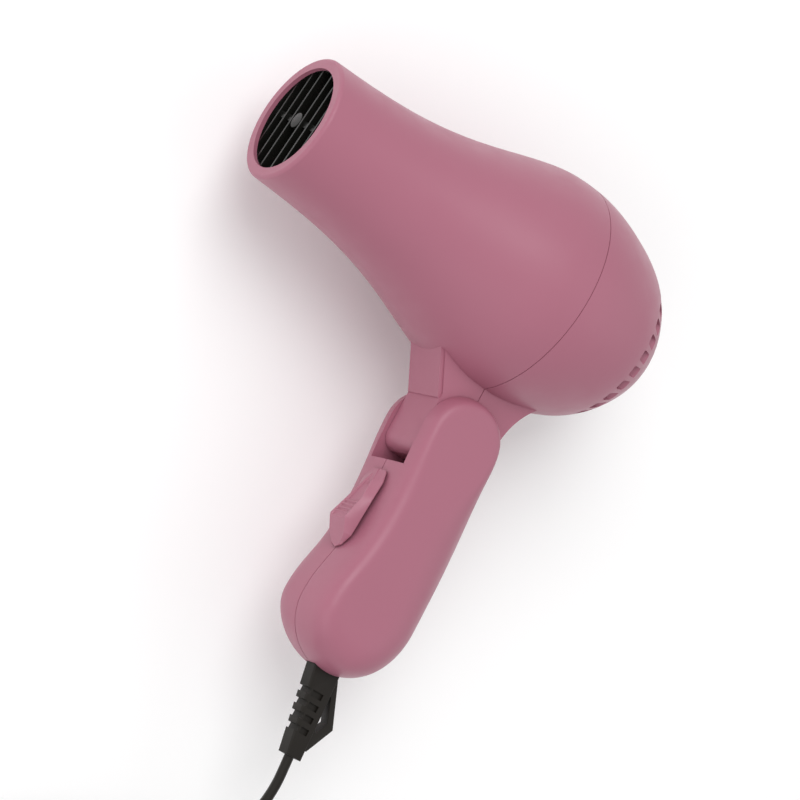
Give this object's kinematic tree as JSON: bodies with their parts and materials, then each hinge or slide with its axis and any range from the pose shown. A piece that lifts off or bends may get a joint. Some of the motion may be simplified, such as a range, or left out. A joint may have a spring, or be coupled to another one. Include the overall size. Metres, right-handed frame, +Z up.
{
  "type": "folding travel hair dryer",
  "caption": "Compact travel hair dryer with a flared barrel, a folding handle with a slide switch, and a ribbed strain relief with hang loop; its mains cord lies in a tied coil.",
  "frame": {"origin": "on the surface the dryer lies on, under the middle of its box (without the cord)", "axes": "+X back along the barrel from mouth to dome, +Y from the handle's end up to the barrel, +Z up, square to the mid-plane where the handle's halves meet"},
  "size_m": [0.174, 0.3561, 0.079],
  "materials": {
    "satin_pink": "satin moulded ABS",
    "switch_pink": "satin moulded ABS, finely ridged",
    "black_nylon": "heat-resistant black nylon",
    "mica": "layered mica sheet",
    "nichrome": "bare resistance wire",
    "steel": "zinc-plated steel",
    "brass": "bright brass",
    "copper": "enamelled copper and iron",
    "ferrite": "sintered ferrite",
    "board": "resin-bonded paper board",
    "white_nylon": "natural nylon",
    "wire_sleeve": "silicone-sleeved wire",
    "black_pvc": "matt flexible PVC",
    "plated_pin": "nickel-plated brass"
  },
  "bodies": {
    "handle": {"handle_shell_near": "satin_pink", "handle_shell_far": "satin_pink", "handle_screws": "steel", "switch_body": "black_nylon", "switch_terminals": "brass", "detent_spring": "steel", "handle_wires": "wire_sleeve", "supply_wires": "wire_sleeve", "cord_inside": "black_pvc", "cord_clamp": "black_nylon", "clamp_screws": "steel", "strain_relief": "black_pvc", "cord_lead": "black_pvc", "cord_coil": "black_pvc", "cord_tail": "black_pvc", "cord_tie": "black_pvc", "plug_body": "black_pvc", "plug_pins": "plated_pin"},
    "barrel": {"front_housing": "satin_pink", "rear_housing": "satin_pink", "neck_screws": "steel", "outlet_grille": "black_nylon", "heat_shield": "mica", "heater_frame": "mica", "heating_coils": "nichrome", "thermostat": "steel", "thermal_fuse": "steel", "motor_holder": "black_nylon", "motor_can": "steel", "motor_magnets": "ferrite", "motor_end_cap": "white_nylon", "rectifier_board": "board", "rectifier_diodes": "black_nylon", "intake_screen": "black_nylon", "hinge_tube": "steel", "hinge_washers": "white_nylon", "barrel_wires": "wire_sleeve"},
    "fan": {"motor_armature": "copper", "motor_shaft": "steel", "fan_impeller": "black_nylon"},
    "switch": {"switch_slider": "switch_pink"}
  },
  "joints": [
    {"name": "fold", "type": "hinge", "parent": "handle", "child": "barrel", "pos_m": [0.0258, 0.00775, 0.0395], "axis": [0, 0, 1], "range_deg": [0, 80]},
    {"name": "fan_spin", "type": "hinge", "parent": "barrel", "child": "fan", "pos_m": [0.0325, 0.06575, 0.0395], "axis": [1, 0, 0], "continuous": true},
    {"name": "switch_slide", "type": "slide", "parent": "handle", "child": "switch", "axis": [0.0576, 0.9983, 0], "range_m": [0, 0.0044]}
  ]
}
